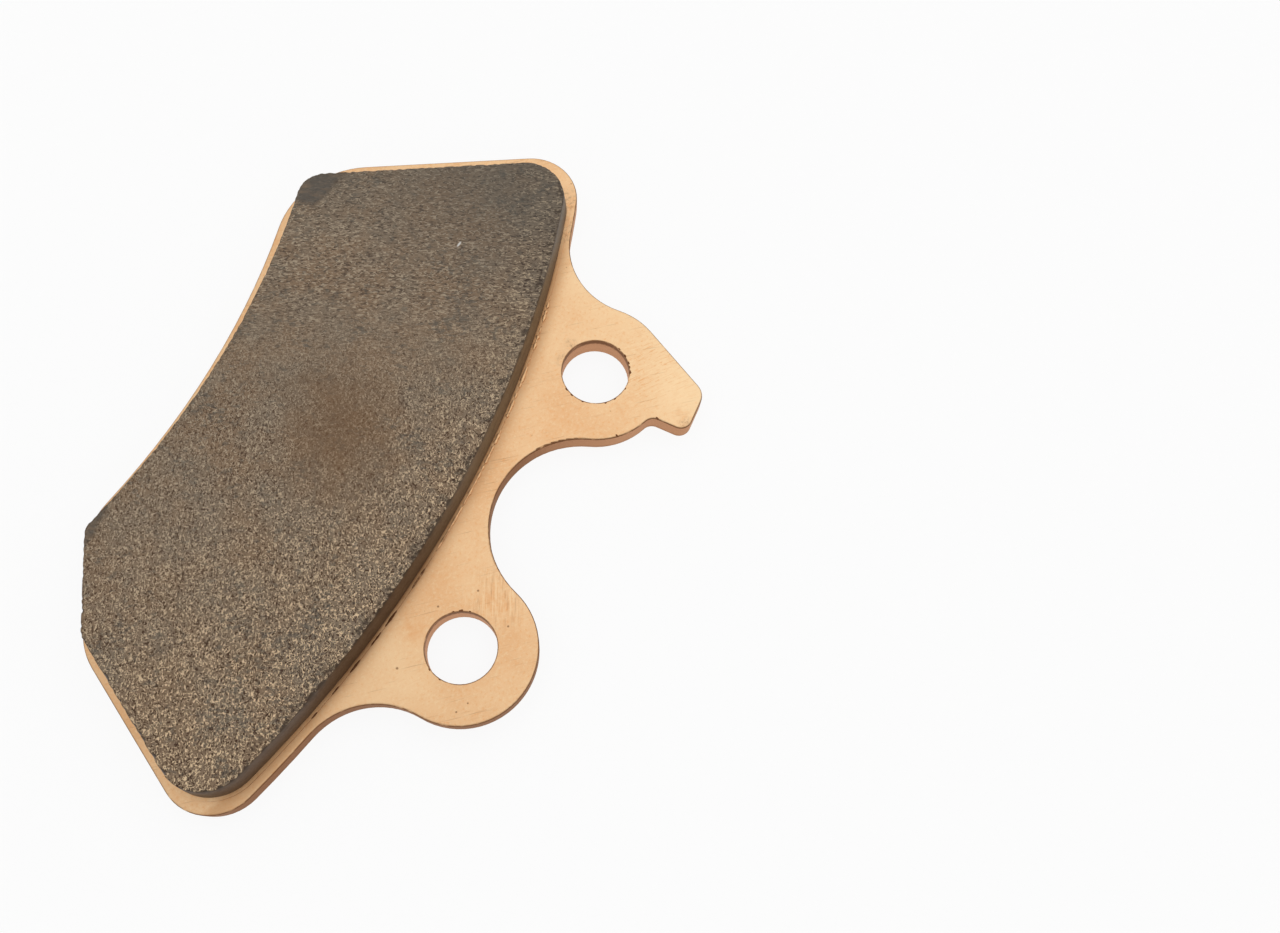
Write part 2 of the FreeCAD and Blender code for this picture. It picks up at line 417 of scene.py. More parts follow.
def copper_material(finish):
    """Satin copper plating with tarnish, pits, scratches and a dark rolled edge; painted shade darkens the
    blanked walls and the plate beside the block, and painted light brightens it towards the tab.
    """
    material, shader, sheet = new_material("copper_plating")
    place = millimetres(sheet)
    x, y, z = axes(place)
    normal_z = axes(sheet.node("ShaderNodeNewGeometry", {}, {}, "Normal"))[2]
    facing = abs(normal_z)
    front = rise(normal_z, 0.5, 0.9)

    # Clouded plating with pale specks and orange smudges; painted light makes it paler towards the tab,
    # with a painted highlight beside it, and a paler patch lies on the trail neck
    tabward = x - y * 0.55
    handled = rise(tabward, 4.0, 22.0)
    cloud = speckle(place, 0.12, 3.0, 0.55)
    grainy = speckle(place, 2.2, 3.0, 0.7)
    smudge = speckle(place, 0.4, 5.0, 0.65, 0.6)
    colour = mix(rise(cloud, 0.35, 0.7), finish.copper, finish.copper_deep)
    # Painted light: paler towards the tab, the side the light comes from
    colour = mix(rise(tabward, 8.0, 40.0) * fall(y, 7.0, 13.0) * 0.75, colour, finish.pale)
    colour = mix(rise(grainy, 0.5, 0.72) * 0.5, colour, finish.pale)
    colour = mix(fall(grainy, 0.28, 0.47) * 0.4, colour, finish.orange)
    colour = mix(rise(smudge, 0.54, 0.68) * (0.1 + handled * 0.1), colour, finish.orange)
    # Painted highlight beside the tab, then a paler patch on the trail neck
    colour = mix(nearness(place, TAB_HIGHLIGHT, 1.0, 7.0) * 0.5, colour, finish.pale)
    colour = mix(nearness(place, TRAIL_NECK, 2.0, 9.0) * 0.28, colour, finish.pale)

    # A dark seam at the block's outer foot, partly painted contact shade; beside it on the trail half, soot
    # darkened further by painted contact shade; a wider band of painted shade, the block's painted
    # reflection on the plate beside it; and heat tint on some spots
    arc_gap = past_arc(place, PLATE_FRONT)
    # Thin dark line where the block's foot meets the plate: a seam with painted contact shade
    seam_and_contact_shade = rise(arc_gap, 0.2, 0.4) * fall(arc_gap, 0.5, 0.72) * front
    seam_and_contact_shade = seam_and_contact_shade * rise(x, -33.0, -25.0) * fall(x, 30.0, 34.0)
    colour = mix(seam_and_contact_shade * 0.6, colour, finish.edge_line)
    # Soft dark band beside the foot on the trail half: soot with painted contact shade
    soot_and_contact_shade = rise(arc_gap, 0.3, 0.5) * fall(arc_gap, 0.6, 1.5) * front
    soot_and_contact_shade = soot_and_contact_shade * rise(x, -38.0, -30.0) * fall(x, -14.0, 0.0)
    colour = mix(soot_and_contact_shade * (0.25 + rise(cloud, 0.4, 0.6) * 0.3), colour, finish.edge_line)
    # Painted shade: the block's dark reflection and shade on the plate beside it, strongest at the lead end
    painted_block_shade = rise(arc_gap, -1.0, 0.2) * fall(arc_gap, 0.4, 2.9) * front
    block_shade_strength = 0.34 + rise(x, 5.0, 26.0) * 0.34 + fall(x, -36.0, -24.0) * 0.2
    colour = mix(painted_block_shade * block_shade_strength * fall(x, 33.0, 38.0), colour, finish.shadow)
    heat = near_any(place, ORANGE_SPOTS, PLATE_FRONT) * rise(speckle(place, 0.9, 3.0), 0.35, 0.7)
    colour = mix(heat * 0.4, colour, finish.orange)

    # Scuffs on the lead lug, combed strokes on the trail lug
    swept = speckle(stretched(place, SCUFF_TURN, (1.7, 0.17, 1.0)), 1.0, 2.0, 0.5, 0.8)
    scuffed = nearness(place, LEAD_SCUFF, 2.5, 7.5)
    colour = mix(rise(swept, 0.56, 0.68) * (0.1 + scuffed * 0.4), colour, finish.pale)
    colour = mix(fall(swept, 0.3, 0.43) * (0.08 + scuffed * 0.4), colour, finish.orange)
    comb = speckle(stretched(place, CROSS_TURN, (2.6, 0.24, 1.0)), 1.0, 1.5, 0.5, 0.3)
    combed = nearness(place, TRAIL_COMB, 1.0, 5.5)
    colour = mix(rise(comb, 0.52, 0.66) * combed * 0.5, colour, finish.pale)

    # Brown oxide in pits, on spots and in scratches
    cells = place.node("ShaderNodeTexVoronoi", {}, {"Vector": place, "Scale": 0.42}, "Distance")
    chosen = axes(cells.out("Color"))[0]
    pits = near_any(place, PLATE_PITS, PLATE_FRONT) | (fall(cells, 0.015, 0.05) * rise(chosen, 0.5, 0.55))
    spots = near_any(place, TARNISH_SPOTS, PLATE_FRONT) * rise(grainy, 0.4, 0.7)
    scratch = speckle(stretched(place, SCRATCH_TURN, (5.0, 0.16, 1.0)), 1.0, 2.0)
    lines = (rise(scratch, 0.64, 0.78) * 0.3) | (fall(comb, 0.32, 0.46) * combed * 0.2)
    tarnish = ((pits * 0.7) | (spots * 0.4) | lines) * front
    colour = mix(tarnish, colour, finish.tarnish)

    # Blanked walls, dark brown from painted shade and painted dark reflection; lighter inside the bores,
    # where the colour is painted bounce light, and lighter towards the lead end; with a dark line under the
    # rolled front edge
    streaks = speckle(stretched(place, 0.0, (0.18, 0.18, 2.4)), 1.0, 2.0)
    torn = fall(z + (speckle(place, 0.7, 3.0) - 0.5) * 1.6, 0.9, 1.3)
    middles = [Vector(bore["pos_m"]) / MM for bore in (LEAD_BORE, TRAIL_BORE)]
    bores = reduce(or_, (nearness(place, spot, BORE_RADIUS + 0.7, BORE_RADIUS + 0.9) for spot in middles))
    mouths = [distance(place, (spot.x, spot.y, PLATE_FRONT)) for spot in middles]
    rims = reduce(or_, (fall(abs(mouth - BORE_RADIUS), 0.04, 0.16) for mouth in mouths))
    # Painted light and shade: dark outer walls, lighter bore walls, and walls lighter towards the lead end
    wall_colour = mix(bores | (rise(x, 3.0, 14.0) * 0.9), finish.wall, finish.bore_wall)
    wall_colour = mix(rise(streaks, 0.4, 0.75) * 0.1, wall_colour, finish.bore_wall)
    wall_colour = mix(torn * (0.22 - bores * 0.14), wall_colour, finish.edge_line)
    wall = fall(facing, 0.3, 0.7)
    colour = mix(wall, colour, wall_colour)
    rolled = rise(facing, 0.05, 0.3) * fall(facing, 0.72, 0.95) * rise(z, 2.5, 3.2) * fall(z, 3.6, 3.64)
    worn = rise(speckle(place, 0.8, 3.0), 0.2, 0.48)
    colour = mix((rolled | rims) * worn * 0.85, colour, finish.edge_line)

    height = grainy * 0.5 + scratch * 0.25 - pits
    rough = finish.roughness + (grainy - 0.5) * 0.16 + wall * 0.12 + tarnish * 0.2
    sheet.feed(shader, {"Base Color": colour, "Metallic": 1.0, "Roughness": rough,
                        "Specular Tint": rgba(finish.sheen), "Normal": bumped(height, 0.35, 0.03)})
    return material


def sinter_material(finish):
    """Ground sintered metal: bright crests, open pores, cooler patches, a heat stain and pressed walls."""
    material, shader, sheet = new_material("sintered_block")
    place = millimetres(sheet)
    x, y, z = axes(place)
    grain, skin, side, edge, coarse = (
        stored(sheet, name) for name in ("grain", "skin", "side", "edge", "coarse"))
    fine = speckle(stretched(place, GRIND_TURN, (0.5, 0.3, 0.5)), 1.0, 2.0)
    reach = past_arc(place, BLOCK_HIGH.z)
    outer = rise(reach, -10.0, -1.0)
    spread = (speckle(place, 0.25, 3.0) - 0.5) * 8.0
    stain = fall(length(stretched(place - STAIN, CROSS_TURN, (1.3, 1.0, 1.0))) + spread, 1.5, 10.5)

    # Burnished crests and open pores: long strokes at the lead end, short curls at the trail end
    lead = rise(x * CROSS_WAY.x + y * CROSS_WAY.y, 10.0, 30.0)
    trail = 1.0 - lead
    crests = (curls(place, (0.74, 0.26), 0.0, 0.08) * lead
              + curls(place, (0.29, 0.37), 0.0, 0.085) * trail)
    pores = (curls(place, (0.7, 0.24), PORE_SHIFT, 0.12) * lead
             + curls(place, (0.28, 0.34), PORE_SHIFT, 0.12) * trail)
    # Painted light: crests stronger and brighter near the outer edge, on the side the light comes from
    strength = (0.78 + (coarse | outer) * 0.22) * (1.0 - stain * 0.15)
    crest_colour = mix(coarse | (outer * 0.6), finish.bright_cool, finish.bright)
    pore_colour = mix(lead * (0.3 - outer * 0.3), finish.pit, finish.patch)
    colour = mix(rise(speckle(place, 0.16, 4.0, 0.6), 0.35, 0.65), finish.metal, finish.metal_warm)
    colour = mix((pores | fall(grain, 0.2, 0.42)) * strength, colour, pore_colour)
    colour = mix((crests | rise(grain, 0.75, 0.98)) * strength, colour, crest_colour)

    # Cooler patches, painted shade that darkens the face towards the lead end, sooty flecks and the heat
    # stain
    blotch = speckle(place, 0.55, 5.0, 0.7)
    # Painted shade: the face darker and greyer towards the lead end, added to the cooler patches
    patches_and_lead_shade = rise(blotch, 0.56, 0.7) * 0.35 + rise(x - y * 0.25, 8.0, 38.0) * 0.56
    spots = rise(speckle(stretched(place, GRIND_TURN, (1.3, 0.8, 1.0)), 1.0, 3.0, 0.6), 0.6, 0.68)
    colour = mix(patches_and_lead_shade | (spots * 0.45), colour, finish.patch)
    flecks = rise(speckle(stretched(place, GRIND_TURN, (0.7, 0.36, 1.0)), 1.0, 2.0, 0.6), 0.5, 0.58)
    sooty = rise(speckle(place, 0.2, 3.0, 0.6), 0.53, 0.63) * flecks
    colour = mix(sooty * 0.55, colour, finish.patch)
    colour = mix(stain * 0.5, colour, finish.stain)

    # Painted shade along the crumbling outer edge, the nick and the smooth unground corners
    crumbled = rise(reach, -1.7, -0.5) * rise(speckle(place, 1.1, 3.0, 0.6), 0.5, 0.6)
    colour = mix(crumbled * 0.75, colour, finish.edge)
    nick = fall(length(stretched(place - NICK, NICK_TURN, (0.6, 0.19, 1.0))), 0.4, 1.0)
    colour = mix(nick, colour, finish.nick)
    rubbed = speckle(stretched(place, GRIND_TURN, (2.4, 0.8, 1.0)), 1.0, 3.0, 0.6)
    skin_colour = mix(rise(rubbed, 0.4, 0.7) * 0.5, finish.skin, finish.metal_warm)
    skin_colour = mix(skin * (1.0 - skin) * 1.6, skin_colour, finish.edge)
    colour = mix(skin * 0.85, colour, skin_colour)

    # Pressed walls with a dark foot, partly scorch and partly painted contact shade where the wall meets
    # the plate, under the painted shade along the face's edge
    streaks = speckle(stretched(place, 0.0, (2.0, 2.0, 0.55)), 1.0, 4.0, 0.6)
    wall_colour = mix(fall(x, -25.0, 10.0) * 0.95, finish.wall, finish.wall_warm)
    wall_colour = mix(rise(x, 22.0, 40.0) * 0.4, wall_colour, finish.patch)
    wall_colour = mix(rise(streaks, 0.45, 0.75) * 0.4, wall_colour, finish.pit)
    # Dark foot of the wall: scorch with painted contact shade
    foot = fall(z, BLOCK_LOW.z + 0.04, BLOCK_LOW.z + 0.24)
    wall_colour = mix(foot * 0.9, wall_colour, finish.scorch_and_shade)
    colour = mix(rise(side + (fine - 0.5) * 0.8, 0.5, 0.62), colour, wall_colour)
    # Painted shade along the face's edge and its rounded rim
    colour = mix(edge * 0.75, colour, finish.edge)

    rough = 0.6 + (fine - 0.5) * 0.3 - skin * 0.1 - side * 0.06
    height = fine * (1.0 - side * 0.75) * (1.0 - skin * 0.6)
    sheet.feed(shader, {"Base Color": colour, "Metallic": 0.35, "Roughness": rough,
                        "Normal": bumped(height, 0.55, 0.07)})
    return material


def bead_material(finish):
    """Braze bead: clean copper towards the lead end, broken and darker towards the trail end, partly scorch
    and partly painted shade beside the block's foot.
    """
    material, shader, sheet = new_material("braze_copper")
    place = millimetres(sheet)
    x = axes(place)[0]
    broken = speckle(place, 1.3, 3.0, 0.6)
    # Darker towards the trail end: partly scorch and partly painted shade beside the block's foot
    scorch_and_shade = fall(x + (broken - 0.5) * 26.0, -20.0, -2.0)
    colour = mix(scorch_and_shade, finish.bright, finish.dark)
    crumbs = speckle(place, 3.0, 2.0)
    colour = mix(rise(crumbs, 0.58, 0.72) * 0.35, colour, finish.burr)
    sheet.feed(shader, {"Base Color": colour, "Metallic": 0.8, "Roughness": 0.45 + scorch_and_shade * 0.25,
                        "Normal": bumped(crumbs, 0.6, 0.04)})
    return material


def burr_material(finish):
    """Torn copper-brown metal of the burrs."""
    material, shader, sheet = new_material("burr_metal")
    place = millimetres(sheet)
    flecks = speckle(place, 6.0, 2.0)
    colour = mix(rise(flecks, 0.28, 0.5), finish.dark, finish.burr)
    sheet.feed(shader, {"Base Color": colour, "Metallic": 0.7, "Roughness": 0.4 + flecks * 0.3,
                        "Normal": bumped(flecks, 0.5, 0.03)})
    return material


def new_piece(name, points, faces, material):
    """A smooth mesh piece on the pad, from points in millimetres."""
    mesh = bpy.data.meshes.new(name)
    mesh.from_pydata((np.asarray(points, dtype=float) * MM).tolist(), [], faces)
    mesh.polygons.foreach_set("use_smooth", [True] * len(mesh.polygons))
    mesh.materials.append(material)
    mesh.validate()
    mesh.update()
    piece = bpy.data.objects.new(name, mesh)
    bpy.context.scene.collection.objects.link(piece)
    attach(piece, "root")
    return piece


def store(piece, name, values):
    """Keep a value on every point of a piece for its material."""
    layer = piece.data.attributes.new(name, "FLOAT", "POINT")
    layer.data.foreach_set("value", np.asarray(values, dtype=float))


def flat_outline(node, height):
    """The outline of a node's flat face at one height, anticlockwise and in millimetres."""
    mesh = frame["nodes"][node].data
    spots = [vertex.co / MM for vertex in mesh.vertices]
    keys = [(round(spot.x, 4), round(spot.y, 4)) for spot in spots]
    follows = {}
    for polygon in mesh.polygons:
        if all(abs(spots[index].z - height) < LEVEL for index in polygon.vertices):
            ring = [keys[index] for index in polygon.vertices]
            for here, there in zip(ring, ring[1:] + ring[:1]):
                if follows.get(there, {}).pop(here, None) is None:
                    follows.setdefault(here, {})[there] = True
    first = next(key for key, ends in follows.items() if ends)
    loop = [first]
    while True:
        following = next(iter(follows[loop[-1]]))
        if following == first:
            break
        loop.append(following)
    loop = np.array(loop)
    turned = np.roll(loop, -1, axis=0)
    if np.sum(loop[:, 0] * turned[:, 1] - loop[:, 1] * turned[:, 0]) < 0.0:
        loop = loop[::-1]
    return loop


def round_edge(loop):
    """Middle and radius of the arc through three points of the loop's outer edge."""
    near = loop[np.argsort(loop[:, 1])[: len(loop) // 3]]
    spots = [near[np.argmin(np.abs(near[:, 0] - x))] for x in ARC_STATIONS]
    rows = [(2.0 * (spots[k][0] - spots[0][0]), 2.0 * (spots[k][1] - spots[0][1])) for k in (1, 2)]
    sums = [spots[k] @ spots[k] - spots[0] @ spots[0] for k in (1, 2)]
    middle = np.linalg.solve(np.array(rows), np.array(sums))
    return float(middle[0]), float(middle[1]), float(np.hypot(*(spots[1] - middle)))


FACE_OUTLINE = flat_outline("friction_block", BLOCK_HIGH.z)
OUTER_ARC = round_edge(FACE_OUTLINE)


def even_points(loop, pitch):
    """Evenly spaced points along a closed loop."""
    closed = np.vstack([loop, loop[:1]])
    run = np.concatenate([[0.0], np.cumsum(np.hypot(*np.diff(closed, axis=0).T))])
    count = int(run[-1] / pitch)
    at = np.arange(count) * run[-1] / count
    return np.column_stack([np.interp(at, run, closed[:, 0]), np.interp(at, run, closed[:, 1])])


def outward(loop):
    """The outward direction at each point of an anticlockwise loop, smoothed over its neighbours."""
    along = np.roll(loop, -2, axis=0) - np.roll(loop, 2, axis=0)
    along /= np.hypot(along[:, 0], along[:, 1])[:, None]
    return np.column_stack([along[:, 1], -along[:, 0]])


def step(value, low, high):
    """A smooth step from 0 at low to 1 at high, for numbers."""
    share = min(max((value - low) / (high - low), 0.0), 1.0)
    return share * share * (3.0 - 2.0 * share)


def ripple(x, y, x_length, y_length, layer):
    """Smooth noise about 0 with lumps of the given lengths; each layer has its own pattern."""
    return noise.noise(Vector((x / x_length, y / y_length, layer)))


def coarseness(x, y):
    """How coarse the grain is: fine at the lead end, coarse at the outer side of the trail end."""
    reach = -0.6 * x - 0.9 * (y - FACE_MIDDLE_Y)
    return 0.1 + 0.9 * step(reach, -14.0, 32.0)


def unground(x, y):
    """1 where the grinding wheel never reached the block's corners."""
    sloping = y - LEAD_SKIN_POINT[1] + LEAD_SKIN_SLOPE * (x - LEAD_SKIN_POINT[0])
    lead = min(sloping, x - LEAD_SKIN_X)
    trail = y - TRAIL_SKIN_Y if x < TRAIL_SKIN_X else -1.0
    wave = 0.35 * ripple(x, y, 1.5, 1.5, 3.0)
    return step(max(lead, trail) + wave, -0.3, 0.7)


def grain_level(x, y):
    """Height of the grain at a point, 0 in a pore and 1 on a crest."""
    along = x * GRIND_WAY.x + y * GRIND_WAY.y
    across = x * CROSS_WAY.x + y * CROSS_WAY.y
    rough = coarseness(x, y)
    strokes = ripple(along, across, 0.75, 0.34, 1.0)
    lumps = ripple(x, y, 0.5, 0.5, 11.0)
    clumps = ripple(x, y, 1.3, 1.3, 23.0)
    pores = ripple(along, across, 0.62, 0.46, 37.0)
    level = 0.58 + 0.5 * ((1.0 - rough) * strokes + rough * lumps) + 0.16 * clumps
    level -= 0.7 * rough * max(0.0, -0.22 - pores)
    return min(max(level, 0.0), 1.0)


def chip_depths(loop):
    """How deep the face's edge is chipped at each point, from 0 to 1."""
    depths = []
    for x, y in loop:
        broad = ripple(x, y, 1.1, 1.1, 51.0)
        sharp = ripple(x, y, 0.5, 0.5, 67.0)
        depth = min(max(0.1 + 0.9 * broad + 1.3 * sharp, 0.0), 1.0)
        depths.append(depth * (0.25 + 0.75 * coarseness(x, y)))
    return np.array(depths)


def edge_rings(chips, chip, flare):
    """Rings from the face's rim down the wall: how far in, how far down, share of wall and of dark edge."""
    cuts = chip * chips
    lip = 0.30 + 0.75 * cuts
    height = BLOCK_HIGH.z - BLOCK_LOW.z
    rings = [(RIM_INSET + 0.50 * cuts, np.zeros(len(chips)), 0.0, 0.0),
             (0.02 + 0.90 * cuts, 0.06 * cuts, 0.3, 0.0),
             (-0.07 + 1.00 * cuts, 0.03 + 0.25 * cuts, 0.6, 0.8),
             (-0.09 + 0.45 * cuts, 0.09 + 0.60 * cuts, 1.0, 1.0),
             (-WALL_SWELL + 0.05 * chips, lip, 1.0, 0.3)]
    for index in range(1, WALL_RINGS + 1):
        share = index / WALL_RINGS
        depth = lip * (1.0 - share) + height * share
        rings.append((-WALL_SWELL - (flare - WALL_SWELL) * depth / height, depth, 1.0, 0.0))
    return rings


def face_lattice(loop, normal, pitch, keep_out):
    """Rows of jittered points on the face, inside its rim."""
    tree = kdtree.KDTree(len(loop))
    for index, (x, y) in enumerate(loop):
        tree.insert((x, y, 0.0), index)
    tree.balance()
    low = loop.min(axis=0)
    high = loop.max(axis=0)
    row_step = pitch * math.sqrt(0.75)
    rows = int((high[1] - low[1]) / row_step)
    columns = int((high[0] - low[0]) / pitch)
    draw = random.Random(5)
    lattice = []
    for row in range(rows + 1):
        for column in range(columns + 1):
            x = low[0] + (column + 0.5 * (row % 2)) * pitch + draw.uniform(-JITTER, JITTER) * pitch
            y = low[1] + row * row_step + draw.uniform(-JITTER, JITTER) * pitch
            near, index, gap = tree.find((x, y, 0.0))
            inside = (x - near.x) * normal[index][0] + (y - near.y) * normal[index][1] < 0.0
            if inside and gap > keep_out:
                lattice.append((x, y, BLOCK_HIGH.z))
    return np.array(lattice)


def pressed_block(finish):
    """The sintered block: grained face, crumbling edge and plain tapered wall, with its stored values."""
    pitch = finish.pitch / MM
    relief = finish.relief / MM
    chip = finish.chip / MM
    drop = finish.skin_drop / MM
    loop = even_points(FACE_OUTLINE, pitch * 1.1)
    normal = outward(loop)
    count = len(loop)
    chips = chip_depths(loop)
    rings = edge_rings(chips, chip, loop[:, 0].min() - BLOCK_LOW.x)

    points = []
    faces = []
    side = []
    edge = []
    for inset, depth, wall, dark in rings:
        points.append(np.column_stack([loop - normal * inset[:, None], BLOCK_HIGH.z - depth]))
        side.append(np.full(count, wall))
        # Painted shade on the rounded rim where the face turns down into the wall
        edge.append(dark * np.minimum(0.6 + 0.8 * chips, 1.0))
    for ring in range(len(rings) - 1):
        for index in range(count):
            after = (index + 1) % count
            faces.append((ring * count + index, (ring + 1) * count + index,
                          (ring + 1) * count + after, ring * count + after))

    # Lattice of the face inside its rim, joined to the rim by triangles, and triangles across the foot
    lattice = face_lattice(loop, normal, pitch, RIM_INSET + 0.5 * chip + RIM_GAP)
    edges = [(index, (index + 1) % count) for index in range(count)]
    flat = [Vector(spot[:2]) for spot in (*points[0], *lattice)]
    made = geometry.delaunay_2d_cdt(flat, edges, [], 1, WELD)
    first_lattice = len(rings) * count
    number = [origin[0] if origin[0] < count else origin[0] - count + first_lattice for origin in made[3]]
    faces.extend(tuple(number[index] for index in face) for face in made[2])
    made = geometry.delaunay_2d_cdt([Vector(spot[:2]) for spot in points[-1]], edges, [], 1, WELD)
    first_foot = first_lattice - count
    faces.extend(tuple(first_foot + made[3][index][0] for index in reversed(face)) for face in made[2])

    points = np.vstack(points + [lattice])
    side = np.concatenate(side + [np.zeros(len(lattice))])
    edge = np.concatenate(edge + [np.zeros(len(lattice))])
    grain, coarse, skin = (
        np.array([level(x, y) for x, y, z in points]) for level in (grain_level, coarseness, unground))
    on_face = np.where(side < 0.5, 1.0, 0.0)
    lower = (1.0 - grain) * relief * coarse * (1.0 - 0.75 * skin) + drop * skin
    points[:, 2] -= on_face * lower
    values = {"grain": grain, "coarse": coarse, "skin": skin * on_face, "side": side, "edge": edge}
    return points, faces, values


def bead_sizes(loop, normal, radius):
    """Radius of the bead at each point: crumbs at the lead end, thin dashes at the trail end."""
    sizes = []
    for (x, y), way in zip(loop, normal):
        crumb = ripple(x, y, 0.42, 0.42, 81.0)
        spell = ripple(x, y, 2.4, 2.4, 93.0)
        clean = 0.62 + 1.15 * crumb + 0.5 * spell
        dashed = 0.22 + 0.9 * spell + 0.25 * crumb
        size = clean + (dashed - clean) * (1.0 - step(x, -16.0, 0.0))
        outer_side = step(-way[1], 0.55, 0.8) * step(-abs(x + 4.0), -33.0, -29.0)
        sizes.append(radius * min(size, 1.1) * outer_side)
    return sizes


def bead_runs(finish):
    """Broken runs of braze along the outer foot of the block, as closed tubes with pointed ends."""
    loop = even_points(FACE_OUTLINE, BEAD_PITCH)
    flare = FACE_OUTLINE[:, 0].min() - BLOCK_LOW.x
    loop = loop + outward(loop) * (flare + BEAD_GAP)
    normal = outward(loop)
    radius = finish.radius / MM
    sizes = bead_sizes(loop, normal, radius)
    count = len(loop)
    shown = [size > BEAD_LEAST * radius for size in sizes]
    points = []
    faces = []
    for first in (index for index in range(count) if shown[index] and not shown[index - 1]):
        run = [first]
        while shown[(run[-1] + 1) % count]:
            run.append((run[-1] + 1) % count)
        start = len(points)
        for index in run:
            x, y = loop[index]
            for corner in range(BEAD_SIDES):
                turn = 2.0 * math.pi * corner / BEAD_SIDES
                out = sizes[index] * BEAD_WIDE * math.cos(turn)
                points.append((x + normal[index][0] * out, y + normal[index][1] * out,
                               BLOCK_LOW.z + sizes[index] * BEAD_TALL * math.sin(turn)))
        tips = len(points)
        for index, beyond in ((run[0], run[0] - 1), (run[-1], (run[-1] + 1) % count)):
            x, y = (loop[index] + loop[beyond]) / 2.0
            points.append((x, y, BLOCK_LOW.z))
        last = tips - BEAD_SIDES
        for corner in range(BEAD_SIDES):
            side = (corner + 1) % BEAD_SIDES
            for here in range(start, last, BEAD_SIDES):
                beyond = here + BEAD_SIDES
                faces.append((here + corner, beyond + corner, beyond + side, here + side))
            faces.append((tips, start + corner, start + side))
            faces.append((tips + 1, last + side, last + corner))
    return points, faces


def burr_lumps():
    """Small torn lumps on the front edges of the bores and of the outline."""
    spots = []
    for bore, burrs in ((LEAD_BORE, LEAD_BURRS), (TRAIL_BORE, TRAIL_BURRS)):
        for angle, size in burrs:
            turn = math.radians(angle)
            reach = BORE_RADIUS + BURR_OUT
            spots.append((bore["pos_m"][0] / MM + reach * math.cos(turn),
                          bore["pos_m"][1] / MM + reach * math.sin(turn), turn, size))
    spots.extend((x, y, math.atan2(y, x), size) for x, y, size in EDGE_BURRS)
    points = []
    faces = []
    for order, (x, y, turn, size) in enumerate(spots):
        lump = bmesh.new()
        bmesh.ops.create_icosphere(lump, subdivisions=2, radius=1.0)
        start = len(points)
        spin = Matrix.Rotation(turn, 3, "Z")
        for vertex in lump.verts:
            swell = 1.0 + 0.45 * noise.noise(vertex.co * 1.4 + Vector((order * 7.0, 0.0, 0.0)))
            shaped = Vector([part * share for part, share in zip(vertex.co, BURR_SHAPE)])
            local = spin @ shaped * size * swell
            points.append((x + local.x, y + local.y, PLATE_FRONT - BURR_SINK + local.z))
        faces.extend(tuple(start + vertex.index for vertex in face.verts) for face in lump.faces)
        lump.free()
    return points, faces


class PAD_OT_finish_plate(bpy.types.Operator):
    """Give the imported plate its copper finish"""

    bl_idname = "pad.finish_plate"
    bl_label = "Finish Plate"

    def execute(self, context):
        plate = frame["nodes"]["backing_plate"]
        plate.material_slots[0].material = copper_material(context.scene.pad_plate)
        return {"FINISHED"}


class PAD_OT_press_block(bpy.types.Operator):
    """Make the sintered block with its grain, edge and unground corners"""

    bl_idname = "pad.press_block"
    bl_label = "Press Block"

    def execute(self, context):
        finish = context.scene.pad_block
        points, faces, values = pressed_block(finish)
        block = new_piece("sintered_block", points, faces, sinter_material(finish))
        if len(block.data.vertices) != len(points):
            raise RuntimeError("the block's mesh lost points")
        for name, value in values.items():
            store(block, name, value)
        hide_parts("friction_block")
        return {"FINISHED"}


class PAD_OT_run_bead(bpy.types.Operator):
    """Run the braze bead along the outer foot of the block"""

    bl_idname = "pad.run_bead"
    bl_label = "Run Bead"

    def execute(self, context):
        finish = context.scene.pad_bead
        points, faces = bead_runs(finish)
        new_piece("braze_bead", points, faces, bead_material(finish))
        return {"FINISHED"}


class PAD_OT_raise_burrs(bpy.types.Operator):
    """Add the torn burrs on the punched edges"""

    bl_idname = "pad.raise_burrs"
    bl_label = "Raise Burrs"

    def execute(self, context):
        points, faces = burr_lumps()
        new_piece("edge_burrs", points, faces, burr_material(context.scene.pad_bead))
        return {"FINISHED"}


def lay_floor(stage):
    """A pale floor with a backdrop all round, white to the camera, that keeps the pad's shadow."""
    mesh = bpy.data.meshes.new("floor")
    corners = ((-FLOOR_HALF, -FLOOR_HALF), (FLOOR_HALF, -FLOOR_HALF),
               (FLOOR_HALF, FLOOR_HALF), (-FLOOR_HALF, FLOOR_HALF))
    levels = (-FLOOR_DROP, BACKDROP_HEIGHT)
    mesh.from_pydata([(x, y, level) for level in levels for x, y in corners], [],
                     [(0, 1, 2, 3), (0, 4, 5, 1), (1, 5, 6, 2), (2, 6, 7, 3), (3, 7, 4, 0)])
    floor = bpy.data.objects.new("floor", mesh)
    bpy.context.scene.collection.objects.link(floor)
    material = bpy.data.materials.new("pale_floor")
    material.use_nodes = True
    tree = material.node_tree
    tree.nodes.clear()
    sheet = Wire(tree)
    matt = sheet.node("ShaderNodeBsdfDiffuse", {}, {"Color": rgba(stage.floor_colour)})
    white = sheet.node("ShaderNodeEmission", {}, {"Color": (1.0, 1.0, 1.0, 1.0), "Strength": 1.0})
    path = sheet.node("ShaderNodeLightPath", {}, {}, "Is Camera Ray")
    seen = (path | path.out("Is Glossy Ray") | path.out("Is Transmission Ray")) * stage.floor_glow
    surface = sheet.node("ShaderNodeMixShader", {}, {0: seen, 1: matt, 2: white})
    output = tree.nodes.new("ShaderNodeOutputMaterial")
    tree.links.new(surface.socket, output.inputs["Surface"])
    mesh.materials.append(material)


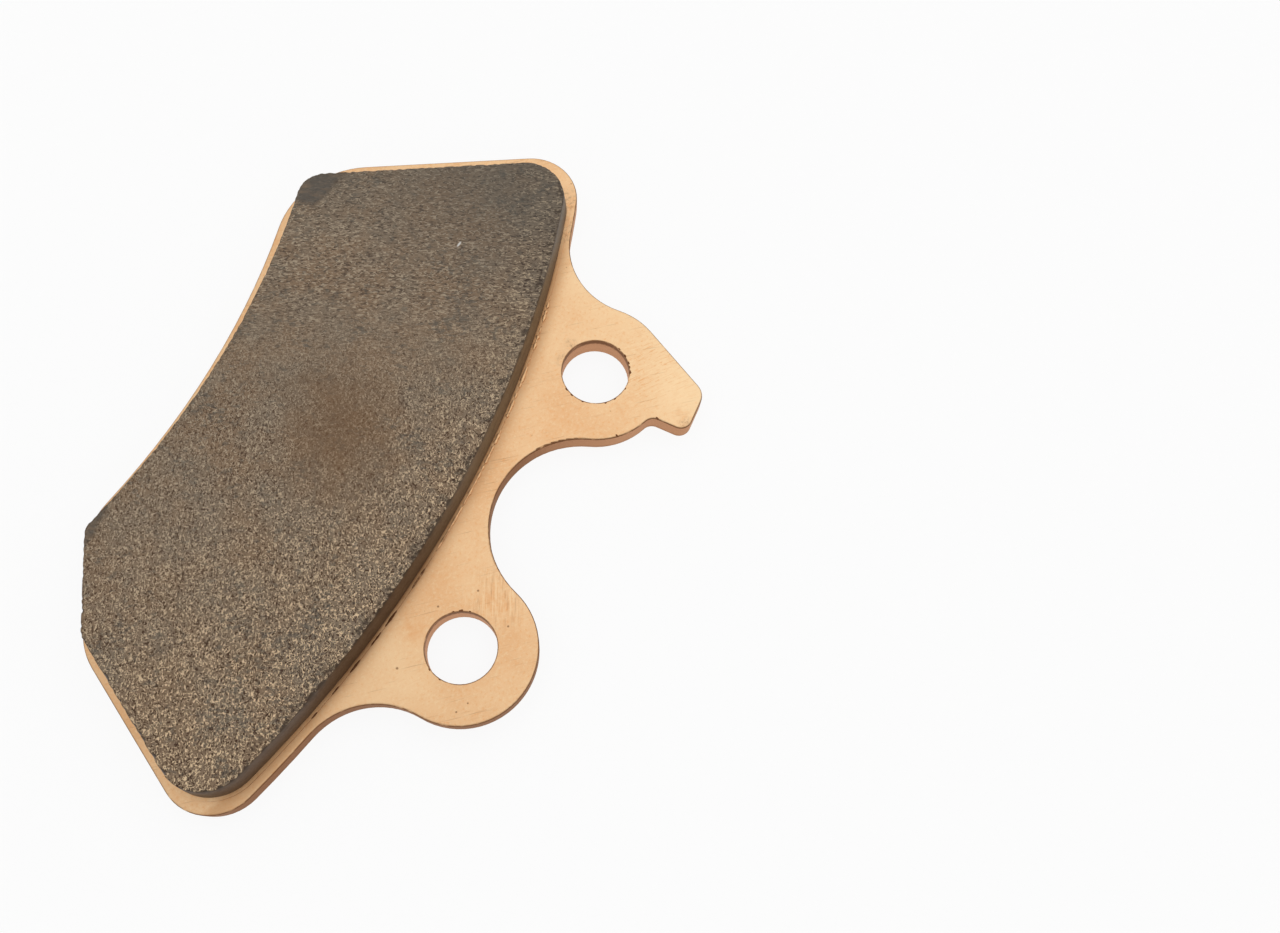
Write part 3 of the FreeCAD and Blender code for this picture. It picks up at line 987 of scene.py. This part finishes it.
def light_room(stage):
    """A room with a light ceiling and one large softbox over the lead end."""
    world = bpy.data.worlds.new("soft_room")
    world.use_nodes = True
    sheet = Wire(world.node_tree)
    height = axes(sheet.node("ShaderNodeTexCoord", {}, {}, "Generated"))[2]
    glow = mix(rise(height, 0.0, 0.8), [stage.horizon] * 3, [stage.ceiling] * 3)
    sheet.feed(world.node_tree.nodes["Background"], {"Color": glow, "Strength": 1.0})
    bpy.context.scene.world = world
    lamp = bpy.data.lights.new("softbox", "AREA")
    lamp.shape = "SQUARE"
    lamp.size = SOFTBOX_SIZE
    lamp.energy = stage.key_power
    softbox = bpy.data.objects.new("softbox", lamp)
    softbox.location = SOFTBOX_PLACE
    softbox.rotation_euler = (SOFTBOX_AIM - SOFTBOX_PLACE).to_track_quat("-Z", "Y").to_euler()
    bpy.context.scene.collection.objects.link(softbox)


def place_camera(stage):
    """The camera at the photograph's angle."""
    data = bpy.data.cameras.new("camera")
    data.lens = stage.lens
    data.sensor_width = SENSOR_WIDTH
    data.sensor_fit = "HORIZONTAL"
    data.clip_start = MM
    camera = bpy.data.objects.new("camera", data)
    place = Vector(stage.camera_place)
    sight = (Vector(stage.camera_aim) - place).to_track_quat("-Z", "Y").to_matrix()
    turn = sight @ Matrix.Rotation(stage.camera_roll, 3, "Z")
    camera.matrix_world = Matrix.Translation(place) @ turn.to_4x4()
    bpy.context.scene.collection.objects.link(camera)
    bpy.context.scene.camera = camera


class PAD_OT_set_stage(bpy.types.Operator):
    """Lay the floor and set the light and the camera"""

    bl_idname = "pad.set_stage"
    bl_label = "Set Stage"

    def execute(self, context):
        stage = context.scene.pad_stage
        lay_floor(stage)
        light_room(stage)
        place_camera(stage)
        context.scene.view_settings.view_transform = "Standard"
        return {"FINISHED"}


class PAD_PT_sidebar(bpy.types.Panel):
    """Operators and settings of the brake pad"""

    bl_label = "Brake Pad"
    bl_idname = "PAD_PT_sidebar"
    bl_space_type = "VIEW_3D"
    bl_region_type = "UI"
    bl_category = "Brake Pad"

    def draw(self, context):
        for operator in OPERATORS:
            self.layout.operator(operator.bl_idname)
        for name, group in SETTINGS.items():
            column = self.layout.column(align=True)
            for setting in group.__annotations__:
                column.prop(getattr(context.scene, name), setting)


SETTINGS = {"pad_plate": PlateFinish, "pad_block": BlockFinish, "pad_bead": BeadFinish,
            "pad_stage": StageSet}
OPERATORS = (PAD_OT_finish_plate, PAD_OT_press_block, PAD_OT_run_bead, PAD_OT_raise_burrs,
             PAD_OT_set_stage)
CLASSES = (*SETTINGS.values(), *OPERATORS, PAD_PT_sidebar)


def register():
    """Add the settings, the operators and the panel."""
    for one in CLASSES:
        bpy.utils.register_class(one)
    for name, group in SETTINGS.items():
        setattr(bpy.types.Scene, name, PointerProperty(type=group))


def unregister():
    """Take them out again."""
    for name in SETTINGS:
        delattr(bpy.types.Scene, name)
    for one in reversed(CLASSES):
        bpy.utils.unregister_class(one)


def main():
    """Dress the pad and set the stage."""
    register()
    bpy.ops.pad.finish_plate()
    bpy.ops.pad.press_block()
    bpy.ops.pad.run_bead()
    bpy.ops.pad.raise_burrs()
    bpy.ops.pad.set_stage()


if __name__ == "__main__":
    main()
